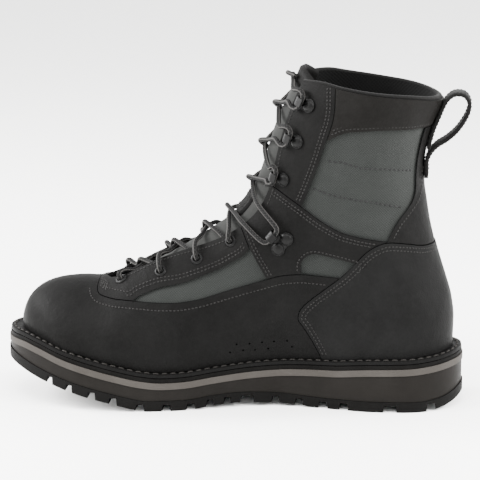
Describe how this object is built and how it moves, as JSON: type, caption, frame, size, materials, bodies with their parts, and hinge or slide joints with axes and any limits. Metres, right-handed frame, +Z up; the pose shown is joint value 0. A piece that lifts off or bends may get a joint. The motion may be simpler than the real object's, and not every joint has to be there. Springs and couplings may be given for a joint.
{
  "type": "outdoor boot",
  "caption": "Eight inch lace-up leather and fabric outdoor boot for the right foot: lugged rubber sole, toe and heel guards, ankle lace lock, lace hooks, padded cuff and rear pull loop.",
  "frame": {"origin": "centre of the flat tread under the heel, on the floor plane", "axes": "+X to the toe, +Y to the medial side of the foot (the side in the picture), +Z up"},
  "size_m": [0.3124, 0.1135, 0.2264],
  "materials": {
    "outsole": "matte black rubber, faint mould sheen",
    "midsole": "smooth dark brown rubber, satin",
    "midsole_strip": "grey rubber wrap, satin",
    "welt": "dark waxed welt edge",
    "insole": "dark footbed cloth",
    "upper": "grey woven fabric over dark lining, matte",
    "tongue": "padded grey woven fabric with a leather top",
    "leather": "charcoal oiled leather, soft low gloss",
    "cuff_leather": "padded dark brown-black leather, soft low gloss",
    "counter": "charcoal oiled leather, soft low gloss",
    "webbing": "dark woven webbing",
    "hardware": "black coated metal, satin",
    "lace": "round dark grey lace with lighter flecks"
  },
  "bodies": {
    "root": {"outsole": "outsole", "midsole": "midsole", "midsole_strip": "midsole_strip", "welt": "welt", "insole": "insole", "upper": "upper", "tongue": "tongue", "heel_counter": "counter", "vamp_guard": "leather", "cuff": "cuff_leather", "backstay": "leather", "pull_loop": "webbing", "ankle_band_medial": "leather", "lower_facing_medial": "leather", "shaft_facing_medial": "leather", "eyelet_medial_1": "hardware", "eyelet_medial_2": "hardware", "eyelet_medial_3": "hardware", "eyelet_medial_4": "hardware", "lace_hook_medial_1": "hardware", "lace_hook_medial_2": "hardware", "lace_hook_medial_3": "hardware", "ankle_lock_medial": "hardware", "ankle_band_lateral": "leather", "lower_facing_lateral": "leather", "shaft_facing_lateral": "leather", "eyelet_lateral_1": "hardware", "eyelet_lateral_2": "hardware", "eyelet_lateral_3": "hardware", "eyelet_lateral_4": "hardware", "lace_hook_lateral_1": "hardware", "lace_hook_lateral_2": "hardware", "lace_hook_lateral_3": "hardware", "ankle_lock_lateral": "hardware", "lace_crossing_1": "lace", "lace_crossing_2": "lace", "lace_crossing_3": "lace", "lace_crossing_4": "lace", "lace_crossing_5": "lace", "lace_crossing_6": "lace", "lace_crossing_7": "lace", "lace_crossing_8": "lace"}
  },
  "joints": []
}
